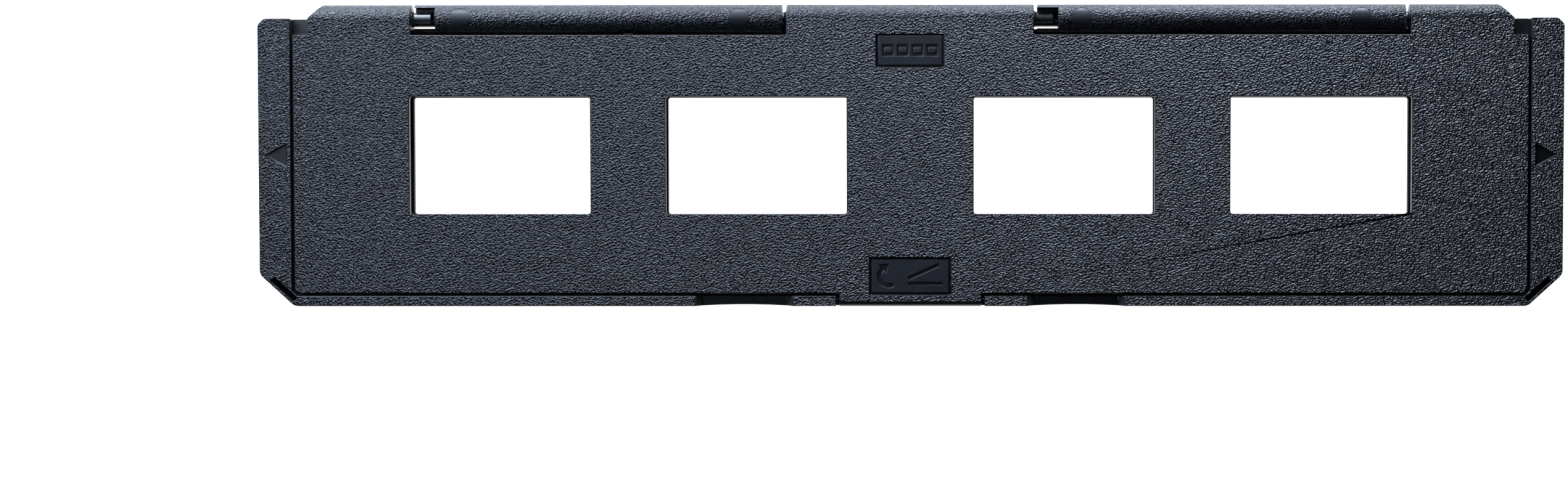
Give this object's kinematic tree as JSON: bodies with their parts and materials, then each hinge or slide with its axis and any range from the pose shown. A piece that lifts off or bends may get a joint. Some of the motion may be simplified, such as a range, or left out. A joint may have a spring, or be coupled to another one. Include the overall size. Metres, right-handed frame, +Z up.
{
  "type": "mounted slide carrier",
  "caption": "Flat hinged carrier that holds mounted slides between a base tray and a windowed lid for scanning or enlarging.",
  "frame": {"origin": "centre of the closed carrier's footprint, on the surface it lies on", "axes": "+X along the row of windows to the right, +Y towards the hinge, +Z up out of the lid"},
  "size_m": [0.267, 0.0618, 0.0068],
  "materials": {
    "base_plastic": "black, pebbled",
    "lid_plastic": "black, pebbled",
    "inner_plastic": "black, smooth satin",
    "pin_plastic": "black, polished",
    "label_plastic": "black, smooth, engraved"
  },
  "bodies": {
    "base": {"bay_floor_left": "inner_plastic", "bay_floor_right": "inner_plastic", "front_wall": "inner_plastic", "front_rim_left": "base_plastic", "front_rim_right": "base_plastic", "tab_sill": "inner_plastic", "end_strip_left": "base_plastic", "end_strip_right": "base_plastic", "end_block_left": "inner_plastic", "end_block_right": "inner_plastic", "centre_block": "inner_plastic", "bay_divider_left": "inner_plastic", "bay_divider_right": "inner_plastic", "hinge_bar_left": "base_plastic", "hinge_bar_right": "base_plastic"},
    "lid": {"lid_panel": "lid_plastic", "knuckle_left": "lid_plastic", "knuckle_centre": "lid_plastic", "knuckle_right": "lid_plastic", "pin_outer_left": "pin_plastic", "pin_inner_left": "pin_plastic", "pin_inner_right": "pin_plastic", "pin_outer_right": "pin_plastic", "open_tab": "lid_plastic", "latch_hook_left": "inner_plastic", "latch_hook_right": "inner_plastic", "press_rails_1": "inner_plastic", "press_rails_2": "inner_plastic", "press_rails_3": "inner_plastic", "press_rails_4": "inner_plastic", "mount_label": "label_plastic", "open_label": "label_plastic"}
  },
  "joints": [
    {"name": "lid_hinge", "type": "hinge", "parent": "base", "child": "lid", "pos_m": [0, 0.028, 0.0039], "axis": [-1, 0, 0], "range_deg": [0, 180]}
  ]
}
